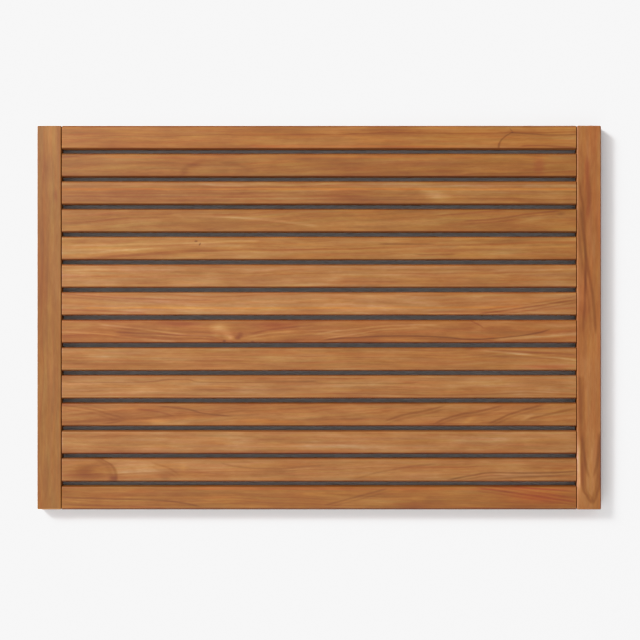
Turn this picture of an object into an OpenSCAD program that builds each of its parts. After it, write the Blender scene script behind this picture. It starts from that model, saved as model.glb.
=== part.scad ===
// Slatted bath mat in teak: slats run the long way between two end rails that stand on
// rubber feet. Millimetres. X is the long way, Y the depth, +Z up. The origin is on the
// floor, under the middle of the mat.

/* [Overall] */
// Overall length along the slats (X)
mat_length = 600; // [500:5:750]
// Height of the standing surface above the floor
mat_height = 30; // [30:1:40]

/* [Slats] */
// Number of slats
slat_count = 14; // [10:1:18]
// Width of one slat (Y)
slat_width = 25; // [22:0.5:30]
// Gap between neighbouring slats
slat_gap = 4.5; // [4:0.5:8]
// Thickness of one slat (Z)
slat_thickness = 25; // [18:1:25]

/* [End rails] */
// Width of an end rail (X)
rail_width = 25.5; // [25:0.5:35]
// Clearance under the rails, filled by the feet
rail_clearance = 3; // [2:0.5:4]
// Radius of the eased edges on slats and rails
edge_radius = 2; // [0.5:0.25:2]

/* [Dowels] */
// Diameter of a dowel
dowel_diameter = 6; // [5:1:8]
// Length of a dowel, half in the slat and half in the rail
dowel_length = 26; // [20:2:36]
// Distance between the two dowels of a slat end
dowel_spacing = 12; // [10:1:13]
// Spare depth behind each end of a dowel, for glue
glue_room = 1; // [0.5:0.5:2]

/* [Feet] */
// Feet under each rail
feet_per_rail = 3; // [2:1:4]
// Diameter of a foot where it enters the rail
foot_diameter = 18; // [16:1:20]
// Diameter of a foot's sole, where it stands on the floor
foot_sole_diameter = 16; // [14:1:16]
// Depth of a foot's seat in the rail
foot_seat = 2; // [1:0.5:3]
// Distance from a rail's end to the centre of its outer foot
foot_inset = 30; // [20:5:60]

/* [Foot screws] */
// Diameter of the screw's shank
screw_diameter = 3.5; // [3:0.5:4]
// Diameter of the screw's countersunk head
screw_head_diameter = 7; // [6:0.5:8]
// Length of the screw from the face of its head to its tip
screw_length = 12; // [10:1:13]

/* [Hidden] */
$fn = 48;
cut = 1; // how far a cutting shape runs past the face that it opens

function two_digits(n) = n < 10 ? str("0", n) : str(n);
SLATS = [for (i = [1:slat_count]) str("slat_", two_digits(i))];
SIDES = ["left", "right"];
FEET = [for (side = SIDES, k = [1:feet_per_rail]) str("foot_", side, "_", k)];

// Frame
slat_pitch = slat_width + slat_gap;
mat_depth = slat_count * slat_pitch - slat_gap;
slat_length = mat_length - 2 * rail_width;
slat_middle = mat_height - slat_thickness / 2;
rail_height = mat_height - rail_clearance;
joint_x = slat_length / 2;      // where a slat's end meets the rail
rail_x = joint_x + rail_width / 2;

// Joints
hole_depth = dowel_length / 2 + glue_room;
dowel_chamfer = 0.8;

// Feet: the screw's head sits in a recess, above the floor
foot_edge = 1;                  // rounding of the sole's rim
foot_pitch = (mat_depth - 2 * foot_inset) / (feet_per_rail - 1);
head_recess = 1.5;              // from the sole up to the screw's head
head_recess_diameter = screw_head_diameter + 1;
head_cone = (screw_head_diameter - screw_diameter) / 2; // height of a 90 degree countersink
screw_point = screw_diameter;   // length of the screw's tapered point
drive_length = 3.6;             // the cross-shaped drive slots
drive_width = 0.9;
drive_depth = 1.4;

function side_sign(side) = side == "left" ? -1 : 1;

// Slat 1 is the one furthest back (+Y)
function slat_y(i) = (mat_depth - slat_width) / 2 - (i - 1) * slat_pitch;
function foot_y(k) = mat_depth / 2 - foot_inset - (k - 1) * foot_pitch;

// A rectangle about the origin with rounded corners
module eased_rectangle(x, y) {
    square([x - 2 * edge_radius, y], center = true);
    square([x, y - 2 * edge_radius], center = true);
    for (sx = [-1, 1], sy = [-1, 1])
        translate([sx * (x / 2 - edge_radius), sy * (y / 2 - edge_radius)])
            circle(r = edge_radius);
}

// A board about the origin with all twelve edges rounded: where three rounded prisms meet
module eased_board(x, y, z) {
    intersection() {
        linear_extrude(z, center = true) eased_rectangle(x, y);
        rotate([90, 0, 0]) linear_extrude(y, center = true) eased_rectangle(x, z);
        rotate([90, 0, 90]) linear_extrude(x, center = true) eased_rectangle(y, z);
    }
}

// Places its children at the two dowel axes of slat i on one side, pointing along +X
module at_dowels(side, i) {
    for (dy = [-1, 1] * dowel_spacing / 2)
        translate([side_sign(side) * joint_x, slat_y(i) + dy, slat_middle])
            rotate([0, 90, 0]) children();
}

module dowel_hole() {
    cylinder(h = 2 * hole_depth, d = dowel_diameter, center = true);
}

// A round dowel with chamfered ends, about the origin, along Z
module dowel() {
    half = dowel_length / 2 - dowel_chamfer;
    cylinder(h = 2 * half, d = dowel_diameter, center = true);
    for (end = [0, 1]) mirror([0, 0, end])
        translate([0, 0, half])
            cylinder(h = dowel_chamfer, d1 = dowel_diameter, d2 = dowel_diameter - 2 * dowel_chamfer);
}

module slat(i) {
    color("peru") difference() {
        translate([0, slat_y(i), slat_middle]) eased_board(slat_length, slat_width, slat_thickness);
        for (side = SIDES) at_dowels(side, i) dowel_hole();
    }
}

module end_rail(side) {
    color("sienna") difference() {
        translate([side_sign(side) * rail_x, 0, rail_clearance + rail_height / 2])
            eased_board(rail_width, mat_depth, rail_height);
        for (i = [1:slat_count]) at_dowels(side, i) dowel_hole();
        for (k = [1:feet_per_rail])
            translate([side_sign(side) * rail_x, foot_y(k), 0]) {
                cylinder(h = rail_clearance + foot_seat, d = foot_diameter);
                screw_shape();
            }
    }
}

module dowels(side) {
    color("burlywood") for (i = [1:slat_count]) at_dowels(side, i) dowel();
}

// A countersunk screw, point up, with the face of its head at the height of the recess
module screw_shape() {
    profile = [
        [0, head_recess],
        [screw_head_diameter / 2, head_recess],
        [screw_diameter / 2, head_recess + head_cone],
        [screw_diameter / 2, head_recess + screw_length - screw_point],
        [0, head_recess + screw_length]
    ];
    rotate_extrude() polygon(profile);
}

// A tapered rubber disc with a rounded rim, bored and countersunk for its screw
module foot(side, k) {
    top = rail_clearance + foot_seat;
    color("dimgray") translate([side_sign(side) * rail_x, foot_y(k), 0]) difference() {
        union() {
            translate([0, 0, rail_clearance]) cylinder(h = foot_seat, d = foot_diameter);
            translate([0, 0, foot_edge])
                cylinder(h = rail_clearance - foot_edge, d1 = foot_sole_diameter, d2 = foot_diameter);
            cylinder(h = foot_edge, d = foot_sole_diameter - 2 * foot_edge);
            translate([0, 0, foot_edge]) rotate_extrude() intersection() {
                translate([foot_sole_diameter / 2 - foot_edge, 0]) circle(r = foot_edge);
                translate([0, -foot_edge]) square([foot_sole_diameter, foot_edge]);
            }
        }
        translate([0, 0, -cut]) cylinder(h = head_recess + cut, d = head_recess_diameter);
        screw_shape();
        cylinder(h = top + cut, d = screw_diameter);
    }
}

// Countersunk screws with crossed drive slots
module foot_screws() {
    color("silver") for (side = SIDES, k = [1:feet_per_rail])
        translate([side_sign(side) * rail_x, foot_y(k), 0]) difference() {
            screw_shape();
            translate([0, 0, head_recess]) for (turn = [0, 90]) rotate(turn)
                cube([drive_length, drive_width, 2 * drive_depth], center = true);
        }
}

for (side = SIDES)
    end_rail(side);
for (i = [1:slat_count])
    slat(i);
for (side = SIDES)
    dowels(side);
for (side = SIDES, k = [1:feet_per_rail])
    foot(side, k);
foot_screws();
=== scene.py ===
"""A slatted teak bath mat: drilled boards, ribbed rubber feet and their screws.

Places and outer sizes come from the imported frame, in metres; holes and grooves are named
below. The figure of the wood is laid out in millimetres from each board's middle: u along
the grain, v across it, w up through the thickness.
"""
import math
import random

import bmesh
import bpy
from mathutils import Matrix, Vector


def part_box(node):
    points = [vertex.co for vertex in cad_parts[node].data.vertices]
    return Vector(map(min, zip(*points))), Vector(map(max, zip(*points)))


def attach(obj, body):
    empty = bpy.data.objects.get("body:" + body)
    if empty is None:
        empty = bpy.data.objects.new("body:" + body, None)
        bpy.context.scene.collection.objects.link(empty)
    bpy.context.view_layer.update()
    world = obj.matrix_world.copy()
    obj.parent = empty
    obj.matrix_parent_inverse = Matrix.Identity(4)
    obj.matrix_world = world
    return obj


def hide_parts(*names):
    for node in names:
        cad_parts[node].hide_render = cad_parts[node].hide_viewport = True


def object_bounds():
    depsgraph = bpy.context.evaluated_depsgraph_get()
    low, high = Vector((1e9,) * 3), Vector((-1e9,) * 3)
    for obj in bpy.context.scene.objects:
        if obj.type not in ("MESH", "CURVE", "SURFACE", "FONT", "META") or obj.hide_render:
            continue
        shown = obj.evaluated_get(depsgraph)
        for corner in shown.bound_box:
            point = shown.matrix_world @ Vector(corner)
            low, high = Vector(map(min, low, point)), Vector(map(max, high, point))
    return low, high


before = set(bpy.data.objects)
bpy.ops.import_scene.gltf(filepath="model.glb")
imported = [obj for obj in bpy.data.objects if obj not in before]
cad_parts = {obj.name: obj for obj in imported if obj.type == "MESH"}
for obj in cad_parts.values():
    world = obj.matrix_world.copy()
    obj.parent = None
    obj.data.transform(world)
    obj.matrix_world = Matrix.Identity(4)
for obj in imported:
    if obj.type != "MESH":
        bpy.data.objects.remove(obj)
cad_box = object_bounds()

MM = 0.001
SLATS = sorted(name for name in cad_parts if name.startswith("slat_"))
RAILS = ("end_rail_left", "end_rail_right")
FEET = sorted(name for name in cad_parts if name.startswith(("foot_left", "foot_right")))

# Boards
EASING = {"slat": (0.8 * MM, 2.4 * MM), "rail": (1.2 * MM, 1.2 * MM)}  # at the ends, along the edges
WEAR = (0.9, 1.08)  # the least and the most that a board's easing is scaled by
EDGE_STEPS = 5  # faces across an eased edge
BAY = 30 * MM  # the most between two cross loops of a board's mesh
BORE_STEPS = 32  # faces round a bore
SAME_PLACE = 1e-7  # vertices closer than this are welded
AXES = {1: (0, 1, 0), 2: (0, 0, 1), 3: (1, 0, 0)}  # a board's face axes: across, up, along the grain

# Joints: two blind dowel holes in each end of a slat, and their partners in the rails
DOWEL_RADIUS = 3 * MM
DOWEL_SPACING = 12 * MM
DOWEL_HOLE_DEPTH = 14 * MM
DOWEL_HOLE = [(DOWEL_RADIUS, 0), (DOWEL_RADIUS, DOWEL_HOLE_DEPTH)]
SHADOW_LINE = 0.4 * MM  # the fine gap between a slat's end and its rail

# A foot's seat in the rail, and the tapered pilot hole of its screw
SEAT_RADIUS = 9 * MM
SEAT_DEPTH = 2 * MM
PILOT_RADIUS = 1.75 * MM
PILOT_DEPTH = 7 * MM
PILOT_TIP = 10.5 * MM
FOOT_HOLE = [(SEAT_RADIUS, 0), (SEAT_RADIUS, SEAT_DEPTH), (PILOT_RADIUS, SEAT_DEPTH),
             (PILOT_RADIUS, PILOT_DEPTH), (0, PILOT_TIP)]


# ---------------------------------------------------------------- geometry helpers

def middle(box):
    return (box[0] + box[1]) / 2


def extent(box):
    return box[1] - box[0]


def add_piece(name, mesh, material, node):
    """Puts a finished mesh into the scene as the piece that stands for a CAD node."""
    piece = bpy.data.objects.new(name, mesh)
    bpy.context.scene.collection.objects.link(piece)
    mesh.materials.append(material)
    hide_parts(node)
    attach(piece, "root")
    return piece


def ring(bm, centre, radius, axes, steps):
    """A circle of vertices about centre, in the plane of two axes."""
    across, up = axes
    loop = []
    for i in range(steps):
        turn = 2 * math.pi * i / steps
        out = across * math.cos(turn) + up * math.sin(turn)
        loop.append(bm.verts.new(centre + out * radius))
    return loop


def bridge(bm, lower, upper):
    """Quads between two closed loops of as many vertices, or triangles to a loop of one."""
    faces = []
    for i in range(len(lower)):
        j = (i + 1) % len(lower)
        if len(upper) == 1:
            faces.append(bm.faces.new((lower[i], lower[j], upper[0])))
        else:
            faces.append(bm.faces.new((lower[i], lower[j], upper[j], upper[i])))
    return faces


def loop_edges(bm, loop):
    return [bm.edges.get((a, b)) or bm.edges.new((a, b)) for a, b in zip(loop, loop[1:] + loop[:1])]


def bore(bm, centre, inward, profile):
    """A hole from a face inwards. The profile lists (radius, depth) from the mouth to the bottom."""
    across = inward.orthogonal().normalized()
    axes = across, inward.cross(across)
    loops = []
    for radius, depth in profile:
        at = centre + inward * depth
        loops.append(ring(bm, at, radius, axes, BORE_STEPS) if radius else [bm.verts.new(at)])
    faces = [face for pair in zip(loops, loops[1:]) for face in bridge(bm, *pair)]
    if len(loops[-1]) > 1:
        faces.append(bm.faces.new(loops[-1]))
    return loops[0], faces


# ---------------------------------------------------------------- boards

def board_core(size, ease):
    """Half the size of the block that is left inside a board's rounding.

    Ease is how far the rounding reaches in from the ends, and its radius along the edges."""
    end, radius = ease
    return Vector((size[0] / 2 - end, size[1] / 2 - radius, size[2] / 2 - radius))


def board_loops(bm, size, ease):
    """The cross loops of a block with all its edges rounded, from one end to the other.

    Each loop goes round the four corners, with EDGE_STEPS + 1 points at each."""
    core = board_core(size, ease)
    end, radius = ease
    quarter = [math.pi / 2 * i / EDGE_STEPS for i in range(EDGE_STEPS + 1)]
    bays = math.ceil(2 * core[0] / BAY)
    stations = [(-core[0] - end * math.sin(a), radius * math.cos(a)) for a in reversed(quarter[1:])]
    stations += [(-core[0] + 2 * core[0] * i / bays, radius) for i in range(bays + 1)]
    stations += [(core[0] + end * math.sin(a), radius * math.cos(a)) for a in quarter[1:]]
    loops = []
    for x, corner_radius in stations:
        loop = []
        for turn, (side, level) in enumerate(((1, 1), (-1, 1), (-1, -1), (1, -1))):
            for a in quarter:
                angle = a + turn * math.pi / 2
                y = side * core[1] + corner_radius * math.cos(angle)
                z = level * core[2] + corner_radius * math.sin(angle)
                loop.append(bm.verts.new((x, y, z)))
        loops.append(loop)
    return loops


def drilled_board(name, size, ease, bores):
    """A board about the origin, its grain along x.

    Bores are (way, centre, profile), where the way is the key in AXES of the face that the
    bore opens, or minus that key for the face opposite."""
    bm = bmesh.new()
    bored = bm.faces.layers.int.new("bored")
    loops = board_loops(bm, size, ease)
    count = len(loops[0])
    points = EDGE_STEPS + 1
    first, last = EDGE_STEPS, len(loops) - 1 - EDGE_STEPS
    # The loop points on either side of each long flat, and which way that flat faces
    flats = {2: (points - 1, points), -1: (2 * points - 1, 2 * points),
             -2: (3 * points - 1, 3 * points), 1: (4 * points - 1, 0)}
    bored_ways = {way for way, centre, profile in bores}
    open_flats = {a for way, (a, b) in flats.items() if way in bored_ways}
    for k in range(len(loops) - 1):
        for i in range(count):
            if i in open_flats and first <= k < last:
                continue
            j = (i + 1) % count
            bm.faces.new((loops[k][i], loops[k][j], loops[k + 1][j], loops[k + 1][i]))
    # A flat that has bores, and each end, is left open and filled between its outline and their mouths
    outlines = {}
    for way, (a, b) in flats.items():
        if a in open_flats:
            there = [loop[a] for loop in loops[first:last + 1]]
            back = [loop[b] for loop in loops[last:first - 1:-1]]
            outlines[way] = there + back
    for way, end in ((-3, loops[0]), (3, loops[-1])):
        outlines[way] = [end[points * corner] for corner in range(4)]
    fill = {way: [] for way in outlines}
    for way, centre, profile in bores:
        inward = -Vector(AXES[abs(way)]) * (1 if way > 0 else -1)
        mouth, faces = bore(bm, Vector(centre), inward, profile)
        fill[way] += loop_edges(bm, mouth)
        for face in faces:
            face[bored] = 1
    merged = bmesh.ops.find_doubles(bm, verts=loops[0] + loops[-1], dist=SAME_PLACE)["targetmap"]
    for way in (-3, 3):
        outlines[way] = [merged.get(v, v) for v in outlines[way]]
    bmesh.ops.weld_verts(bm, targetmap=merged)
    for way, outline in outlines.items():
        edges = loop_edges(bm, outline) + fill[way]
        bmesh.ops.triangle_fill(bm, use_beauty=True, edges=edges)
    bmesh.ops.recalc_face_normals(bm, faces=bm.faces)
    mesh = bpy.data.meshes.new(name)
    bm.to_mesh(mesh)
    bm.free()
    return mesh


def finish_board(mesh, size, ease, seat):
    """Notes where each vertex lies in the wood, sets true normals and moves the board to its seat."""
    core = board_core(size, ease)
    end, radius = ease
    grain = mesh.attributes.new("grain", "FLOAT_VECTOR", "POINT")
    facing = mesh.attributes.new("facing", "FLOAT_VECTOR", "POINT")
    out = []
    for vertex in mesh.vertices:
        nearest = Vector(max(-c, min(c, x)) for x, c in zip(vertex.co, core))
        off = vertex.co - nearest
        off.x *= (radius / end) ** 2  # the rounding at an end is part of an ellipse
        out.append(off.normalized())
        grain.data[vertex.index].vector = vertex.co
        facing.data[vertex.index].vector = out[-1]
    bored = mesh.attributes["bored"]
    normals = [None] * len(mesh.loops)
    for face in mesh.polygons:
        face.use_smooth = True
        for loop in face.loop_indices:
            inside = bored.data[face.index].value
            normals[loop] = face.normal if inside else out[mesh.loops[loop].vertex_index]
    mesh.normals_split_custom_set(normals)
    mesh.attributes.remove(bored)
    mesh.transform(seat)


def make_slat(name, material, ease):
    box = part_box(name)
    size = extent(box) - Vector((2 * SHADOW_LINE, 0, 0))
    bores = []
    for way in (-3, 3):
        for side in (-1, 1):
            centre = (math.copysign(size.x / 2, way), side * DOWEL_SPACING / 2, 0)
            bores.append((way, centre, DOWEL_HOLE))
    mesh = drilled_board(name, size, ease, bores)
    finish_board(mesh, size, ease, Matrix.Translation(middle(box)))
    return add_piece(name + "_board", mesh, material, name)


def make_rail(name, material, ease):
    """A rail's grain runs along Y, so the board is turned a quarter: its v points to -X."""
    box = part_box(name)
    across, length, height = extent(box)
    size = Vector((length, across, height))
    seat = Matrix.Translation(middle(box)) @ Matrix.Rotation(math.pi / 2, 4, "Z")
    to_board = seat.inverted()
    inner = -1 if middle(box).x < 0 else 1  # the face towards the slats, in the board's v
    bores = []
    for slat in SLATS:
        at = to_board @ Vector((middle(box).x, middle(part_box(slat)).y, middle(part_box(slat)).z))
        for side in (-1, 1):
            centre = (at.x + side * DOWEL_SPACING / 2, inner * across / 2, at.z)
            bores.append((inner, centre, DOWEL_HOLE))
    for foot in FEET:
        at = to_board @ middle(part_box(foot))
        if abs(at.y) < across / 2:
            bores.append((-2, (at.x, at.y, -height / 2), FOOT_HOLE))
    mesh = drilled_board(name, size, ease, bores)
    finish_board(mesh, size, ease, seat)
    return add_piece(name + "_board", mesh, material, name)


# ---------------------------------------------------------------- shader fields

class Field:
    """A number that varies over a surface: a node's output, whose arithmetic adds more nodes."""

    def __init__(self, socket):
        self.socket = socket
        self.tree = socket.id_data

    def __add__(self, other):
        return maths("ADD", self, other)

    def __sub__(self, other):
        return maths("SUBTRACT", self, other)

    def __mul__(self, other):
        return maths("MULTIPLY", self, other)

    def __truediv__(self, other):
        return maths("DIVIDE", self, other)

    __radd__ = __add__


def node(tree, kind, inputs=(), output=0, **settings):
    """Adds a shader node with its settings and inputs, and returns one of its outputs."""
    made = tree.nodes.new("ShaderNode" + kind)
    for name, value in settings.items():
        setattr(made, name, value)
    for key, value in dict(inputs).items():
        if isinstance(value, Field):
            tree.links.new(value.socket, made.inputs[key])
        else:
            made.inputs[key].default_value = value
    return Field(made.outputs[output])


def tree_of(values):
    return next(value.tree for value in values if isinstance(value, Field))


def maths(operation, *values):
    return node(tree_of(values), "Math", enumerate(values), operation=operation)


def smooth(value, low, high):
    """0 at low and 1 at high, with an easy curve between them."""
    inputs = {"Value": value, "From Min": low, "From Max": high}
    return node(value.tree, "MapRange", inputs, interpolation_type="SMOOTHSTEP")


def bell(value, reach):
    """1 where value is 0, falling to 0 at reach either side."""
    return smooth(maths("ABSOLUTE", value), reach, 0)


def length(a, b):
    return maths("SQRT", a * a + b * b)


def point(*values):
    return node(tree_of(values), "CombineXYZ", enumerate(values))


def components(vector):
    return [node(vector.tree, "SeparateXYZ", {0: vector}, output=axis) for axis in range(3)]


def object_place(tree):
    """Where a point lies in its object, in metres."""
    return components(node(tree, "TexCoord", output="Object"))


def noise(at, seed, detail=2.0, roughness=0.5):
    """Soft random variation about 0, mostly within half of 1."""
    inputs = {"Vector": point(*at), "W": seed, "Scale": 1, "Detail": detail, "Roughness": roughness}
    return (node(tree_of(at), "TexNoise", inputs, noise_dimensions="4D") - 0.5) * 2


def new_material(name):
    """A material whose tree holds only its output and a Principled shader."""
    material = bpy.data.materials.new(name)
    material.use_nodes = True
    shader = material.node_tree.nodes["Principled BSDF"]
    return material, material.node_tree, shader


def drive(shader, socket, field):
    shader.id_data.links.new(field.socket, shader.inputs[socket])


def bump(shader, height, strength, distance):
    inputs = {"Height": height, "Strength": strength, "Distance": distance}
    drive(shader, "Normal", node(shader.id_data, "Bump", inputs))


# ---------------------------------------------------------------- marks in the wood

def stained(amount, stains):
    return {stain: amount * strength for stain, strength in stains.items()}


def patch(u, v, long, wide, turn=0.0, **stains):
    """A soft oval of stained wood. Turn is in degrees."""
    cos, sin = math.cos(math.radians(turn)), math.sin(math.radians(turn))

    def mark(at_u, at_v):
        along = ((at_u - u) * cos + (at_v - v) * sin) / long
        across = ((at_v - v) * cos - (at_u - u) * sin) / wide
        return stained(smooth(length(along, across), 1, 0), stains)
    return mark


def vein(points, wide, upright=False, fade=12, echoes=(), **stains):
    """A soft line through points (u, v), fading at both ends. An upright one runs across the
    board, through points (v, u). Echoes are fainter lines beside it, at these distances."""
    run, rise = zip(*points)
    low, high = min(rise) - 0.01, max(rise) + 0.01

    def mark(at_u, at_v):
        along, across = (at_v, at_u) if upright else (at_u, at_v)
        made = along.tree.nodes.new("ShaderNodeFloatCurve")
        curve = made.mapping.curves[0]
        span = max(run) - min(run)
        for _ in range(len(points) - 2):
            curve.points.new(0.5, 0.5)
        places = sorted(((r - min(run)) / span, (s - low) / (high - low)) for r, s in points)
        for curve_point, place in zip(curve.points, places):
            curve_point.location = place
        made.mapping.update()
        share = (along - min(run)) / span
        along.tree.links.new(share.socket, made.inputs["Value"])
        off = across - Field(made.outputs[0]) * (high - low) - low
        ends = min(fade, span / 3)
        window = smooth(along, min(run), min(run) + ends) * smooth(along, max(run), max(run) - ends)
        amount = bell(off, wide)
        for echo in echoes:
            amount = amount + bell(off - echo, wide) * 0.5
        return stained(amount * window, stains)
    return mark


def knot(u, v, size, push):
    """A small knot: the rings bend round it, and its heart is dark and reddish."""
    def mark(at_u, at_v):
        far = length((at_u - u) / 9, (at_v - v) / 5) / size
        near = length(at_u - u, (at_v - v) * 1.3) / size
        heart = smooth(near, 1.1, 0.2)
        return {"dark": heart * 0.9, "red": heart, "push": smooth(far, 1, 0) * push}
    return mark


# ---------------------------------------------------------------- materials

TEAK = (0.25, 0.095, 0.021)
BEECH = (0.55, 0.36, 0.19)
RUBBER = (0.03, 0.03, 0.032)
STEEL = (0.6, 0.59, 0.57)
FLOOR_COLOUR = (0.9, 0.9, 0.905)
RING = 3.2  # width of a growth ring, in mm
WANDER = 6  # how far the heart line strays, in mm
MARK_LEVEL = 12.5  # w at which the marks lie just where they are listed, at a slat's top
MARK_SLANT = 0.3  # how far they drift to the side for each millimetre below that

# How each channel of a colour scales for one step of a stain. Pale, red and gold set out from a
# principal component analysis of the real boards' colours and were adjusted.
STAINS = {
    "pale": (1.28, 1.62, 2.7),
    "dark": (0.64, 0.53, 0.37),
    "red": (1.05, 0.93, 0.98),
    "gold": (1.07, 1.05, 0.9),
    "amber": (1.0, 0.96, 0.65),
    "light": (1.5, 1.5, 1.5),
}


def pigment(tint, stains):
    """A colour under as many steps of each stain as are given."""
    channels = []
    for axis, channel in enumerate(tint):
        for stain, steps in stains.items():
            channel = maths("POWER", STAINS[stain][axis], steps) * channel
        channels.append(channel)
    return node(channels[0].tree, "CombineColor", enumerate(channels))


def surfaces(tree, timber):
    """How much of each kind of surface a point of a board lies on, by the way it faces."""
    toward = components(node(tree, "Attribute", output="Vector", attribute_name="facing"))
    along, across, up = [maths("ABSOLUTE", way) for way in toward]
    flat = maths("MAXIMUM", maths("MAXIMUM", along, across), up)
    edge_axis, edge_sign = timber.get("highlit_edge", (0, -1))
    edge = toward[edge_axis] * edge_sign
    # Painted shade: the rounding on the side of -v is darkened, the side turned away from the key light.
    front = smooth(toward[1], -0.1, -0.6) * smooth(toward[1], -1.0, -0.93)
    return {
        # Painted shade: every rounding is a little darker than the flats.
        "rounding": smooth(flat, 0.99, 0.8),
        # Painted highlight: a pale line along one eased edge, where the key light would glint.
        "highlit edge": smooth(edge, 0.0, 0.3) * smooth(edge, 0.98, 0.8),
        "end": smooth(along, 0.75, 1.0),
        # Painted shade: the long roundings and the sides are darker and redder, as the gaps' edges look
        # in shade.
        "shaded sides": smooth(across, 0.3, 0.9),
        "side": smooth(across, 0.97, 1.0),
        "gap side": sum(smooth(toward[1] * way, 0.97, 1.0) for way in timber.get("gaps", (-1, 1))),
        "front_shade": front * timber.get("front_shade", 0.7),
    }


def teak(name, timber):
    """Oiled teak: growth rings round a heart line, streaks and fibres along it, and open pores."""
    material, tree, shader = new_material(name)
    seed = timber["seed"]
    heart_v, heart_w = timber["heart"]
    lean, climb = timber["lean"]
    grain = node(tree, "Attribute", output="Vector", attribute_name="grain")
    u, v, w = [place / MM for place in components(grain)]
    ripple = noise((u / 40, v / 7, w / 7), seed + 3) * 0.9

    # The board's tone and marks
    total = dict(zip(("pale", "red", "gold"), timber["tone"]), dark=0.0, push=0.0)
    slanted = v + ripple + (w - MARK_LEVEL) * MARK_SLANT
    for mark in timber["marks"]:
        for effect, amount in mark(u, slanted).items():
            total[effect] = amount + total.get(effect, 0.0)

    # Growth rings: how far a point lies from the heart line, and how much late wood it holds
    drift = noise((u / 170, v / 60, w / 60), seed) * WANDER
    lift = noise((u / 190, v / 60, w / 60), seed + 11) * WANDER
    side = v - heart_v - u * lean + drift + ripple
    depth = w - heart_w - u * climb + lift + ripple * 0.5
    radius = length(side, depth) + total["push"]
    phase = radius / RING + noise((radius / 9, u / 900, 0.0), seed + 5) * 1.6
    number = maths("FLOOR", phase)
    part = phase - number
    chance = node(tree, "TexWhiteNoise", {"W": number + seed}, noise_dimensions="1D")
    late = smooth(part, 0.3, 0.92) * smooth(part, 1.0, 0.93) * (smooth(chance, 0.4, 1.0) * 0.85 + 0.15)

    # Finer and finer variation, down to single fibres and pores
    band = noise((u / 420, radius / 5.5, 0.0), seed + 21, detail=1)
    streak = noise((u / 70, radius / 1.8, depth / 20), seed + 31, detail=5, roughness=0.68)
    cloud = noise((u / 60, v / 11, w / 11), seed + 41)
    mottle = noise((u / 15, v / 3.5, w / 3.5), seed + 45, detail=4, roughness=0.65)
    dash = noise((u / 9, side / 0.9, depth / 0.9), seed + 65, detail=2)
    hue = noise((u / 80, radius / 2.5, 0.0), seed + 51, detail=4, roughness=0.6)
    gold = noise((u / 60, v / 3.5, w / 3.5), seed + 55, detail=3)
    fibre = noise((u / 16, side / 0.42, depth / 0.42), seed + 61, detail=3, roughness=0.65)
    pore = smooth(noise((u / 5, side / 0.3, depth / 0.3), seed + 71, detail=1), 0.3, 0.6)

    # The long roundings and the sides are redder and darker than the top, which is painted shade at
    # the gaps' edges; every rounding is a little darker, painted shade too, one edge carries a painted
    # highlight and the rounding on the side of -v a painted shade. Sides are paler where they face a
    # gap, and end grain is darkest.
    on = surfaces(tree, timber)
    pale = (late * -0.8 + band * 0.9 + streak * 1.1) * timber.get("figure", 1.0)
    pale = pale + cloud * 1.1 + mottle * 0.75 + dash * 0.35 + fibre * 0.4 - pore * 0.4
    pale = pale - on["rounding"] * 0.2 + on["highlit edge"] * 0.9 + on["side"] * 0.5
    pale = pale + on["gap side"] * 0.5 - on["end"] * 1.3
    dark = on["shaded sides"] * 0.8 - on["gap side"] * 1.3 - on["highlit edge"] * 0.8 + on["front_shade"]
    total["pale"] = pale + total["pale"] + 0.12
    total["red"] = hue * 2.4 + late * 0.4 + on["highlit edge"] + on["end"] + on["shaded sides"] + total["red"]
    total["gold"] = gold * 2.6 - on["highlit edge"] * 0.8 + on["gap side"] + total["gold"]
    total["dark"] = dark + total["dark"]
    stains = {stain: total[stain] for stain in STAINS if stain in total}
    drive(shader, "Base Color", pigment(TEAK, stains))

    rough = 0.42 + fibre * 0.08 + pore * 0.16 - late * 0.05 + on["end"] * 0.2 + on["shaded sides"] * 0.25
    drive(shader, "Roughness", rough)
    bump(shader, late * 0.25 + fibre * 0.45 - pore * 0.9, 0.35, 0.12 * MM)
    shader.inputs["IOR"].default_value = 1.45
    shader.inputs["Specular IOR Level"].default_value = 0.35
    return material


def dowel_wood(name):
    """Pale, tight-grained beech with short dark flecks, its grain along X."""
    material, tree, shader = new_material(name)
    x, y, z = [place / MM for place in object_place(tree)]
    streak = noise((x / 20, y / 0.7, z / 0.7), 5.0, detail=3)
    fleck = smooth(noise((x / 2.2, y / 0.35, z / 0.35), 9.0, detail=1), 0.35, 0.6)
    stains = {"pale": streak * 0.25, "dark": fleck * 0.35}
    drive(shader, "Base Color", pigment(BEECH, stains))
    shader.inputs["Roughness"].default_value = 0.65
    return material


def foot_rubber(name):
    """Black rubber with a fine moulded texture and paler scuffs where it rubs the floor."""
    material, tree, shader = new_material(name)
    x, y, z = [place / MM for place in object_place(tree)]
    speckle = noise((x / 0.35, y / 0.35, z / 0.35), 3.0, detail=2)
    cloud = noise((x / 5, y / 5, z / 5), 7.0)
    scuff = smooth(z + cloud * 0.5, 0.6, 0.0)
    stains = {"light": cloud * 0.6 + scuff * 1.2 + speckle * 0.35}
    drive(shader, "Base Color", pigment(RUBBER, stains))
    drive(shader, "Roughness", 0.62 + speckle * 0.12 + scuff * 0.12)
    bump(shader, speckle, 0.4, 0.08 * MM)
    shader.inputs["Specular IOR Level"].default_value = 0.35
    return material


def screw_steel(name):
    """Stainless steel with fine turning marks and a few darker smears."""
    material, tree, shader = new_material(name)
    x, y, z = [place / MM for place in object_place(tree)]
    turned = noise((x / 3, y / 3, z / 0.12), 2.0, detail=2)
    smear = noise((x / 2, y / 2, z / 2), 8.0)
    drive(shader, "Base Color", pigment(STEEL, {"light": turned * 0.3 + smear * 0.35}))
    drive(shader, "Roughness", 0.32 + turned * 0.08 + smear * 0.12)
    bump(shader, turned, 0.3, 0.03 * MM)
    shader.inputs["Metallic"].default_value = 1.0
    return material


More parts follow.
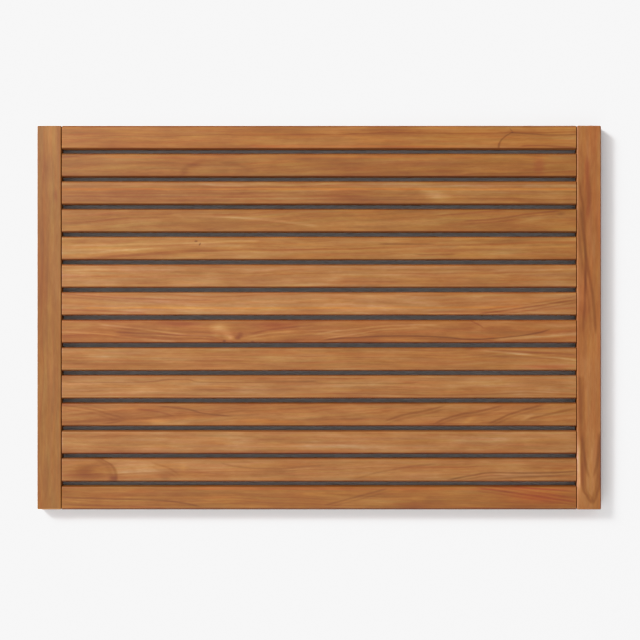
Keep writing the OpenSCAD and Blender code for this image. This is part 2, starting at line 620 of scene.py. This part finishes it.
def pale_floor(name):
    """A matt, very slightly uneven white floor."""
    material, tree, shader = new_material(name)
    x, y, z = object_place(tree)
    cloud = noise((x / 0.4, y / 0.4, z), 4.0, detail=3)
    channels = [cloud * 0.01 + channel for channel in FLOOR_COLOUR]
    drive(shader, "Base Color", node(tree, "CombineColor", enumerate(channels)))
    shader.inputs["Roughness"].default_value = 0.9
    shader.inputs["Specular IOR Level"].default_value = 0.0
    return material


# ---------------------------------------------------------------- the boards' timber

# Each board: its tone against plain teak (steps paler, redder, more golden), where the tree's
# heart line lies (v, w), how that line leans across and climbs through the board for each
# millimetre along it, how strong its rings are (figure), and what marks it has. The tones are
# rounded to tenths from a fit of each board's average colour to the real board's, and the marks
# are a simplified tracing of the real boards' figure.
# Gaps are the sides, by the sign of v, that face a gap or the slats; the others are outer
# sides. The edge that carries a painted highlight is given by its axis (0 along, 1 across) and
# sign, and is the left end of a slat unless stated. A board may also set how dark the painted
# shade is on the rounding on the side of -v.
# Most of the boards are quarter-sawn and calm; where the saw came near a branch or the heart,
# a board has loops, knots and slanting lines.
TIMBER = {
    "end_rail_left": dict(
        seed=101, tone=(-0.7, -1.0, 0.7), figure=0.5, heart=(30, -40), lean=(0.02, 0.01),
        gaps=(-1,), front_shade=0.0, marks=(
            patch(190, 0, 36, 14, pale=0.6, gold=1),
            patch(130, -6, 12, 4, dark=0.5, red=1),
            patch(100, 2, 60, 6, pale=-0.2),
            patch(-40, 4, 70, 6, pale=0.3),
            vein([(100, -2), (0, 3), (-100, 1), (-200, 5)], 1.8, dark=0.2))),
    "end_rail_right": dict(
        seed=102, tone=(-0.3, 0.4, 0.8), figure=0.6, heart=(20, -60), lean=(0.01, 0.02),
        highlit_edge=(1, 1), gaps=(1,), marks=(
            vein([(175, 4), (155, 2), (130, 1), (100, 2)], 4, dark=0.5, red=1.5),
            patch(140, 8, 60, 5, dark=0.3),
            vein([(150, 11), (137, 10), (112, 6), (66, 4), (20, 5)], 2.2, dark=0.8, gold=1, amber=0.6),
            vein([(122, 9.5), (77, 5), (44, 0), (20, -4), (-20, -7)],
                 2.6, dark=0.8, amber=0.6, echoes=(5,)),
            vein([(60, 3), (44, 3.5), (20, 4.5), (0, 6), (-20, 7)], 2.4, dark=0.8, gold=1),
            patch(185, -10, 34, 4, pale=0.6),
            vein([(-60, 10), (-110, 9), (-150, 8), (-180, 7), (-190, 2), (-200, -3)],
                 2.8, dark=1, gold=1.2, amber=0.7, fade=6, echoes=(-3,)),
            vein([(-120, -13), (-150, -12.5), (-170, -12), (-188, -8), (-200, -3)],
                 2.8, dark=1, gold=1.2, amber=0.7, fade=6, echoes=(3,)),
            vein([(-120, 8), (-140, 6), (-160, 3), (-174, -2)], 2.6, dark=0.7, amber=0.7),
            vein([(-120, -11), (-140, -10), (-160, -7), (-174, -2)], 2.6, dark=0.7, amber=0.7),
            patch(-150, -2, 60, 7, pale=0.6),
            vein([(-122, 11), (-160, 11), (-196, 10.5)], 2.8, pale=1.8, gold=0.8, fade=24))),
    "slat_01": dict(
        seed=1, tone=(-0.5, -0.4, 1.9), heart=(-70, -20), lean=(0.01, 0.0), gaps=(-1,), marks=(
            patch(60, 8, 50, 4, dark=0.2), patch(-40, 8, 60, 5, dark=0.2),
            vein([(-12, 191), (-5, 192.5), (1, 198), (5, 205), (6, 207)],
                 2, upright=True, fade=1, dark=1, amber=0.7),
            vein([(202, 10.5), (204, 8), (207, 5)], 1.6, dark=0.7, fade=2),
            vein([(202, 5), (224, 4), (250, 2.6), (276, 4)], 1.2, fade=5, dark=0.9),
            vein([(211, -11), (226, -8.6), (250, -9.4), (276, -11)], 1.6, fade=8, dark=0.8, red=1.5),
            vein([(-80, -9), (60, -9.5), (160, -9.4)], 1.6, red=1.5, gold=1))),
    "slat_02": dict(
        seed=2, tone=(-0.8, -0.8, 1.2), heart=(-40, -40), lean=(0.0, 0.02), marks=(
            patch(-144, -8, 9, 7, dark=0.8, gold=2, turn=60),
            patch(-134, -1, 18, 6, dark=0.5, gold=2, turn=30),
            vein([(-150, -8), (-136, 0), (-118, 4.6), (-98, 3), (-76, -4), (-62, -10)],
                 3.5, dark=0.3, gold=0.5),
            patch(-120, -4, 20, 5, pale=0.4), patch(-80, -7, 16, 4, dark=0.3),
            patch(234, 0, 9, 14, dark=0.4, red=2), patch(90, 2, 70, 5, dark=0.2, red=1),
            vein([(-230, 8.5), (0, 9), (250, 8.5)], 1.8, red=0.5, gold=2))),
    "slat_03": dict(
        seed=3, tone=(-0.4, -0.6, 0.5), heart=(80, 0), lean=(0.002, 0.0), marks=(
            vein([(-290, 8), (0, 8.4), (290, 7.6)], 3.2, pale=0.8, red=0.4, gold=-0.5),
            vein([(-290, 3.8), (0, 4), (290, 3.4)], 2.0, pale=0.1, red=1, gold=3.2),
            vein([(-290, -3), (-120, -4), (60, -3)], 2.2, dark=0.3, red=1.2, echoes=(-4, 3.6)),
            patch(60, -7, 70, 7, dark=0.6, red=0.5), patch(124, -3, 22, 8, pale=1.1, turn=-12),
            patch(150, -7, 30, 4, pale=0.3, gold=1))),
    "slat_04": dict(
        seed=4, tone=(-0.5, -0.8, 1.0), heart=(-30, -40), lean=(0.05, 0.0), marks=(
            patch(-210, 7, 90, 4, dark=0.3, red=1),
            vein([(-160, 5), (-100, 4), (-50, 0), (4, -7)], 2.4, pale=0.8, red=0.5, gold=-0.5),
            patch(-40, 3, 60, 7, pale=0.3), patch(50, 5, 60, 5, pale=0.35, gold=0.5),
            vein([(150, -1), (198, 3), (224, 7), (260, 11)], 1.7, dark=0.7, red=1.2, echoes=(-3,)),
            vein([(120, 5), (160, 8), (200, 11)], 1.6, dark=0.4, red=1), patch(257, 7, 7, 2.5, dark=0.7),
            patch(222, 0, 24, 5, pale=0.7, turn=10))),
    "slat_05": dict(
        seed=5, tone=(-0.1, -0.5, 1.2), heart=(50, -30), lean=(0.03, 0.0), marks=(
            patch(-220, 0, 70, 8, pale=0.4, gold=0.5),
            vein([(-270, 3), (-180, 4.6), (-60, 8)], 2, pale=0.7, echoes=(-5,)),
            patch(-131, 7.6, 2.6, 1.2, dark=2), patch(-127, 4.4, 2.6, 1.2, dark=2, turn=60),
            vein([(60, 5), (96, 4.4), (126, 5)], 1.7, dark=0.8),
            vein([(96, -6), (120, -6.6), (150, -6)], 1.4, dark=0.5), patch(200, 8, 90, 4, dark=0.4),
            vein([(140, 2), (200, 1), (276, 3)], 2.4, pale=0.5, gold=1),
            patch(220, -6, 60, 4, pale=0.5))),
    "slat_06": dict(
        seed=6, tone=(0.1, -0.1, 0.6), heart=(60, -50), lean=(0.01, 0.0), marks=(
            patch(-113, 0, 20, 8, pale=0.5), patch(14, -1, 18, 7, pale=0.5),
            patch(-190, -6, 50, 5, dark=0.2), vein([(-276, 6), (-190, 6.8), (-120, 5)], 1.8, pale=0.4),
            patch(-60, -5, 30, 5, dark=0.3), vein([(30, 8), (120, 6.5), (200, 8)], 2.2, dark=0.3),
            patch(250, 0, 30, 10, pale=0.3))),
    "slat_07": dict(
        seed=7, tone=(0.3, 0.1, 0.6), heart=(40, -40), lean=(0.0, 0.0), marks=(
            vein([(-280, 11), (-240, 8), (-172, 4.6), (-110, 4)], 1.6, dark=0.5, red=1, echoes=(-3,)),
            vein([(-255, -4.4), (0, -4.6), (220, -3)], 2, dark=0.1, red=0.4, gold=3),
            vein([(-285, -6), (-250, -7), (-180, -10)], 1.8, dark=0.5, red=1.5, echoes=(-3,)),
            patch(-52, 4, 70, 7, pale=0.4), patch(40, 1, 60, 6, pale=0.3),
            vein([(166, -11), (214, -5), (280, 5.5)], 1.5, dark=0.8, red=1.2, echoes=(-3.4, 3.4)),
            vein([(110, -9), (200, -8), (280, -3)], 1.6, dark=0.4, red=1))),
    "slat_08": dict(
        seed=8, tone=(-0.6, 0.2, 0.9), heart=(-30, -40), lean=(0.0, 0.0), marks=(
            knot(-87, -7, 4, 1), patch(-106, 4, 15, 10, pale=1.2, gold=0.2),
            patch(-97, -4, 10, 7, pale=1.0, gold=0.3, turn=-40),
            patch(-84, -4, 6, 5, dark=0.8, red=0.8, turn=70),
            patch(-94, -7, 4, 4, pale=0.6, red=1), patch(-112, -4, 12, 5, pale=0.4),
            patch(-101, -10.4, 2.6, 1.7, dark=1.8), patch(-71, -11, 3, 1.6, dark=1.2),
            patch(-150, 8, 40, 4, dark=0.4, red=1.5),
            vein([(-240, 8), (-189, 2.4), (-150, -2.6), (-112, -6)], 1.8, pale=1, echoes=(-3.6,)),
            vein([(-280, 0), (-244, -2), (-196, -7), (-150, -11)], 1.8, pale=0.9),
            vein([(-220, -1), (-167, -3), (-125, -5), (-105, -8)], 1.6, dark=0.8, red=1, echoes=(4, -3)),
            vein([(-280, -9), (-220, -10), (-180, -11)], 1.8, dark=0.5, gold=2),
            patch(-50, 5, 36, 6, dark=0.4, red=1.5),
            vein([(-82, -7), (-50, -1.6), (-20, 0.6), (30, 1)], 1.6, pale=0.8, echoes=(-3.8,)),
            vein([(-76, -3), (-44, 3), (0, 7)], 1.6, dark=0.6, red=1),
            vein([(-10, -4), (47, 3.5), (83, 6.6), (130, 7)], 1.5, pale=0.8),
            vein([(0, -8), (38, -3), (66, 1.6), (110, 4.4)], 1.5, pale=0.8, echoes=(-2.6,)),
            vein([(0, -10), (47, -6), (92, -5), (136, -6.2), (164, -8.4), (190, -7), (224, -3),
                  (250, 4)], 1.3, dark=1.1),
            patch(80, -9, 70, 2.4, pale=0.9, gold=1), patch(170, 3, 14, 5, pale=0.6, turn=20),
            vein([(182, -9), (226, -6), (285, -2)], 3.2, pale=1.2, gold=-0.5),
            vein([(160, 12), (170, 7), (176, 3)], 1.5, dark=0.6, red=1, fade=3))),
    "slat_09": dict(
        seed=9, tone=(-0.1, -0.2, 0.8), heart=(60, -30), lean=(0.0, 0.0), marks=(
            patch(-234, 3, 24, 6, pale=0.6), patch(-30, 2, 90, 7, pale=0.3),
            patch(-160, -3, 30, 5, pale=0.3),
            vein([(166, 10), (220, 5), (280, -2)], 2, pale=1),
            vein([(150, 11), (210, 8.4), (280, 4)], 1.8, dark=0.6, red=1, echoes=(-6,)),
            patch(240, -8, 50, 4, dark=0.3, red=2))),
    "slat_10": dict(
        seed=10, tone=(0.1, -0.1, 0.5), heart=(70, -30), lean=(0.0, 0.0), marks=(
            vein([(-272, 5), (-221, 4.6), (-172, 6.2), (-149, 8), (-137, 7.2), (-122, 4.8), (0, 6.2)],
                 1.4, fade=8, dark=0.6),
            vein([(-10, 6), (46, 3.4), (110, 5.6)], 1.4, dark=0.5), patch(-200, -3, 60, 6, pale=0.4),
            vein([(-140, -2), (-80, -3.4), (-20, -1)], 1.6, dark=0.4), patch(130, -2, 60, 5, dark=0.2))),
    "slat_11": dict(
        seed=11, tone=(-0.3, -0.1, 1.0), heart=(-40, -30), lean=(0.06, 0.0), marks=(
            vein([(-290, 12), (-245, 6), (-217, -1.5), (-204, -4)],
                 1.7, dark=0.6, gold=1, echoes=(-4, 4)),
            vein([(-280, -11), (-240, -10.6), (-217, -8), (-204, -4)],
                 1.7, dark=0.6, gold=1, echoes=(3,)),
            vein([(-176, 9.4), (-142, 6), (-120, 1), (-90, -2)], 1.4, dark=0.8),
            vein([(-200, 7), (-164, 1), (-150, -5)], 1.6, dark=0.5, red=1),
            vein([(-140, 0), (-110, -1), (-60, 1)], 1.8, dark=0.4),
            patch(-172, -7, 20, 4.5, pale=0.9, gold=1), patch(-50, -8, 44, 4, dark=0.3, gold=3),
            vein([(-60, -6.4), (0, -5), (56, -4.6)], 2.2, dark=0.4),
            vein([(-3, -3.5), (36, -0.5), (85, 5.4)], 2, dark=0.5, red=0.3, gold=1, echoes=(3,)),
            vein([(66, -9), (90, -0.4), (115, 4.4), (138, 11)], 2, dark=0.9, gold=1.2, echoes=(-3.6,)),
            vein([(118, -12), (150, 0), (170, 3.4), (200, 11)], 2.1, dark=1, gold=1.2, echoes=(-3.2,)),
            vein([(176, -12), (194, -4), (205, 1), (242, 11)], 2.1, dark=1, gold=1.2, echoes=(-3.4,)),
            vein([(215, -7), (245, 0.6), (276, 6.8)], 2, dark=0.8, gold=1),
            patch(160, -5, 16, 5, pale=0.5, gold=1, turn=30), patch(222, -3, 14, 4, pale=0.5, turn=30))),
    "slat_12": dict(
        seed=12, tone=(0.1, -0.1, 0.4), heart=(60, -60), lean=(0.0, 0.0), marks=(
            patch(-88, 1, 30, 8, pale=0.6), patch(-210, -2, 50, 5, dark=0.2),
            patch(-20, -4, 40, 5, pale=0.3), vein([(-250, 6), (-160, 7.4), (-60, 5)], 1.9, dark=0.3),
            patch(170, 2, 60, 6, pale=0.3))),
    "slat_13": dict(
        seed=13, tone=(-0.1, -0.1, 0.6), figure=0.8, heart=(-60, -40), lean=(0.02, 0.0), marks=(
            patch(-246, -1, 32, 17, dark=0.8, gold=2, amber=0.7),
            patch(-250, -1, 14, 9, dark=0.8, gold=2, amber=0.8),
            patch(-232, 0, 18, 15, dark=0.3, gold=1),
            vein([(-14, -217), (-8, -216), (-1, -217), (5, -221), (10, -229), (14, -236)],
                 3, upright=True, fade=1, dark=0.8, gold=1, amber=0.6),
            vein([(-14, -222), (-8, -221), (-1, -222), (5, -226), (10, -234), (14, -241)],
                 7, upright=True, fade=1, dark=0.6, gold=1.5),
            patch(-219, -9, 6, 5, dark=0.9, red=1), patch(-190, 0, 36, 14, pale=0.9, red=0.4),
            vein([(-184, 11), (-172, 6), (-158, 1), (-149, -6), (-145, -12)],
                 2.2, dark=0.5, gold=1, echoes=(-5,)),
            patch(-164, -9, 8, 4, dark=0.5), patch(-145, 2, 8, 8, pale=0.4, gold=1),
            vein([(-108, 11), (-82, 3), (-50, 1), (-20, 3), (10, 5)], 1.8, dark=0.5),
            patch(-60, 8, 20, 4, pale=0.3), vein([(34, -11), (85, 1.7), (130, 7)], 1.7, dark=0.4),
            vein([(132, -12), (164, -5.6), (184, -3), (223, -3.4), (280, -1)],
                 1.6, dark=1, echoes=(-3,)),
            patch(210, 5, 60, 5, pale=0.2), vein([(160, -11), (210, -8), (276, -6)], 1.6, dark=0.5))),
    "slat_14": dict(
        seed=14, tone=(-0.8, -0.8, 1.8), heart=(-50, -20), lean=(-0.02, 0.0), gaps=(1,), marks=(
            vein([(-136, 9.6), (60, 9.4), (276, 9.6)], 1.9, red=2, gold=1),
            vein([(-274, 6), (0, 5.4), (160, 5)], 2.2, pale=0.4),
            vein([(-280, 0.5), (-215, -1.3), (-180, -2.2), (-150, -5), (-122, -11)], 1.5, dark=0.8),
            vein([(-280, -7), (-200, -9.4), (-160, -11)], 1.6, dark=0.4, red=1),
            patch(60, -4, 60, 5, pale=0.5), patch(-60, 0, 60, 6, pale=0.2),
            vein([(2, -9), (36, 0), (78, 11)], 1.6, dark=0.6, echoes=(-3.4,)),
            vein([(165, 11), (215, 4), (280, -6)], 1.8, dark=0.9, red=2, gold=1, echoes=(-3.4, 4)),
            vein([(200, 12), (240, 9), (280, 6)], 1.6, dark=0.6, red=2),
            patch(235, 1, 70, 14, dark=0.3, red=2, gold=2, amber=0.5), patch(120, -3, 18, 6, dark=0.3))),
}


# ---------------------------------------------------------------- feet

LATHE_STEPS = 96  # faces round a turned shape
CREASE = 35  # an edge that turns more than this many degrees stays sharp

# A foot, in mm
FOOT_BORE = 1.75  # radius of the screw's hole
FOOT_TOP = 5.0  # height of the face that lies in the rail's seat
FOOT_SEAT = 9.0  # radius in the seat
FOOT_BREAK = 0.2  # how far a sharp edge is broken
FOOT_SHOULDER = 3.0  # height at which the taper begins, at the rail's underside
FOOT_SOLE = 8.0  # radius of the sole
FOOT_RIM = 1.0  # rounding of the sole's rim
FOOT_GROOVES = (5.0, 6.1)  # radii of the grip grooves in the sole
GROOVE_WIDTH = 0.5
GROOVE_FLOOR = 0.3  # width of a groove at its floor
GROOVE_DEPTH = 0.45
FOOT_RECESS = 4.0  # radius of the screw head's recess
RECESS_DEPTH = 1.5
HEAD_RADIUS = 3.5  # of the screw's countersunk head


def lathe(name, profile, centre):
    """A closed solid of revolution about Z from a closed outline of (radius, height)."""
    bm = bmesh.new()
    axes = Vector((1, 0, 0)), Vector((0, 1, 0))
    loops = [ring(bm, Vector((0, 0, height)), radius, axes, LATHE_STEPS) for radius, height in profile]
    for lower, upper in zip(loops, loops[1:] + loops[:1]):
        bridge(bm, lower, upper)
    bmesh.ops.recalc_face_normals(bm, faces=bm.faces)
    for edge in bm.edges:
        edge.smooth = edge.calc_face_angle(0) < math.radians(CREASE)
    for face in bm.faces:
        face.smooth = True
    mesh = bpy.data.meshes.new(name)
    bm.to_mesh(mesh)
    bm.free()
    mesh.transform(Matrix.Translation(centre))
    return mesh


def arc(centre, radius, start, stop, steps=4):
    """Points on an arc of an outline, from one angle to another, in degrees."""
    turns = [math.radians(start + (stop - start) * i / steps) for i in range(steps + 1)]
    return [(centre[0] + radius * math.cos(t), centre[1] + radius * math.sin(t)) for t in turns]


def foot_outline():
    """A foot's outline: top, seat, taper, rounded rim, grooved sole, recess and countersink."""
    outline = [(FOOT_BORE, FOOT_TOP), (FOOT_SEAT - FOOT_BREAK, FOOT_TOP)]
    outline += [(FOOT_SEAT, FOOT_TOP - FOOT_BREAK), (FOOT_SEAT, FOOT_SHOULDER)]
    outline += arc((FOOT_SOLE - FOOT_RIM, FOOT_RIM), FOOT_RIM, 0, -90)
    for groove in reversed(FOOT_GROOVES):
        mouth, floor = GROOVE_WIDTH / 2, GROOVE_FLOOR / 2
        outline += [(groove + mouth, 0), (groove + floor, GROOVE_DEPTH)]
        outline += [(groove - floor, GROOVE_DEPTH), (groove - mouth, 0)]
    outline += arc((FOOT_RECESS + FOOT_BREAK, FOOT_BREAK), FOOT_BREAK, -90, -180, 2)
    outline += [(FOOT_RECESS, RECESS_DEPTH), (HEAD_RADIUS, RECESS_DEPTH)]
    outline.append((FOOT_BORE, RECESS_DEPTH + HEAD_RADIUS - FOOT_BORE))
    return [(radius * MM, height * MM) for radius, height in outline]


def make_foot(name, material):
    centre = middle(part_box(name))
    mesh = lathe(name, foot_outline(), Vector((centre.x, centre.y, 0)))
    return add_piece(name + "_ribbed", mesh, material, name)


def dress(node_name, material):
    """Gives a CAD node that stays its better material."""
    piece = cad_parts[node_name]
    for place in piece.material_slots:
        place.link = "OBJECT"
        place.material = material


# ---------------------------------------------------------------- stage

DOME = 0.51  # brightness of the dome of light half way up
FLOOR_SIZE = 40.0
CAMERA_HEIGHT = 3.0
CAMERA_FIELD = 0.6811  # width of what the camera sees at the mat's top
CAMERA_SENSOR = 36.0  # width of its sensor, in mm
CAMERA_AIM = (0.0009, -0.0026)  # how far it stands off the mat's middle, in x and y
SHOULDER = 0.8  # brightness up to which the picture is linear, rounded from the lights' fit
FLOOR_TONE = 0.93  # the brightest tone in the picture
BRIGHTEST = 4.0  # brightness at which that tone is reached
SHOULDER_POINTS = 9  # points along the curve above it


def make_floor():
    half = FLOOR_SIZE / 2
    corners = [(-half, -half, 0), (half, -half, 0), (half, half, 0), (-half, half, 0)]
    mesh = bpy.data.meshes.new("floor")
    mesh.from_pydata(corners, [], [(0, 1, 2, 3)])
    floor = bpy.data.objects.new("floor", mesh)
    mesh.materials.append(pale_floor("pale_floor"))
    bpy.context.scene.collection.objects.link(floor)


def softbox(name, at, size, power):
    """A rectangular studio light that faces the mat."""
    lamp = bpy.data.lights.new(name, "AREA")
    lamp.shape = "RECTANGLE"
    lamp.size, lamp.size_y = size
    lamp.energy = power
    light = bpy.data.objects.new(name, lamp)
    light.location = at
    light.rotation_euler = (-Vector(at)).to_track_quat("-Z", "Y").to_euler()
    light.visible_camera = False
    bpy.context.scene.collection.objects.link(light)


def make_lights():
    """Two softboxes and a soft dome of light, dimmer low down and brighter straight overhead.

    The softboxes' places and sizes are rounded from a fit to the real mat's shadows."""
    softbox("key", at=(-1.3, 1.0, 2.2), size=(0.75, 1.1), power=72)
    softbox("fill", at=(-0.3, -1.65, 2.6), size=(1.4, 2.0), power=32)
    world = bpy.data.worlds.new("studio")
    world.use_nodes = True
    background = world.node_tree.nodes["Background"]
    background.inputs["Color"].default_value = (1, 1, 1, 1)
    height = components(node(world.node_tree, "TexCoord", output="Generated"))[2]
    walls = smooth(height, 0.0, 0.35) * 0.4 + 0.6
    ceiling = smooth(height, 0.9, 0.99) * 1.1 + 1
    drive(background, "Strength", walls * ceiling * DOME)
    bpy.context.scene.world = world


def make_camera():
    top = cad_box[1].z
    camera = bpy.data.cameras.new("camera")
    camera.sensor_width = CAMERA_SENSOR
    camera.lens = CAMERA_SENSOR * (CAMERA_HEIGHT - top) / CAMERA_FIELD
    holder = bpy.data.objects.new("camera", camera)
    holder.location = (*CAMERA_AIM, CAMERA_HEIGHT)
    bpy.context.scene.collection.objects.link(holder)
    bpy.context.scene.camera = holder


def make_exposure():
    """Plain exposure, with a film-like shoulder that keeps the overlit floor just short of white."""
    view = bpy.context.scene.view_settings
    view.view_transform = "Standard"
    view.use_curve_mapping = True
    mapping = view.curve_mapping
    mapping.clip_max_x = mapping.clip_max_y = BRIGHTEST
    for channel in mapping.curves[:3]:
        channel.points[1].location = (BRIGHTEST, BRIGHTEST)
    curve = mapping.curves[3]
    head = FLOOR_TONE - SHOULDER
    levels = [SHOULDER + head * k / 2 for k in range(SHOULDER_POINTS)]
    curve.points[0].location = (0, 0)
    curve.points[1].location = (BRIGHTEST, FLOOR_TONE)
    for level in levels:
        curve.points.new(level, FLOOR_TONE - head * math.exp((SHOULDER - level) / head))
    for curve_point in curve.points:
        curve_point.handle_type = "VECTOR"
    mapping.update()


# ---------------------------------------------------------------- build

dice = random.Random(7)
for board in (*RAILS, *SLATS):
    make, kind = (make_rail, "rail") if board in RAILS else (make_slat, "slat")
    wear = dice.uniform(*WEAR)
    make(board, teak("teak_" + board, TIMBER[board]), [reach * wear for reach in EASING[kind]])
rubber = foot_rubber("foot_rubber_moulded")
for foot in FEET:
    make_foot(foot, rubber)
pale_wood = dowel_wood("dowel_beech")
for dowels in ("dowels_left", "dowels_right"):
    dress(dowels, pale_wood)
dress("foot_screws", screw_steel("screw_stainless"))
make_floor()
make_lights()
make_camera()
make_exposure()
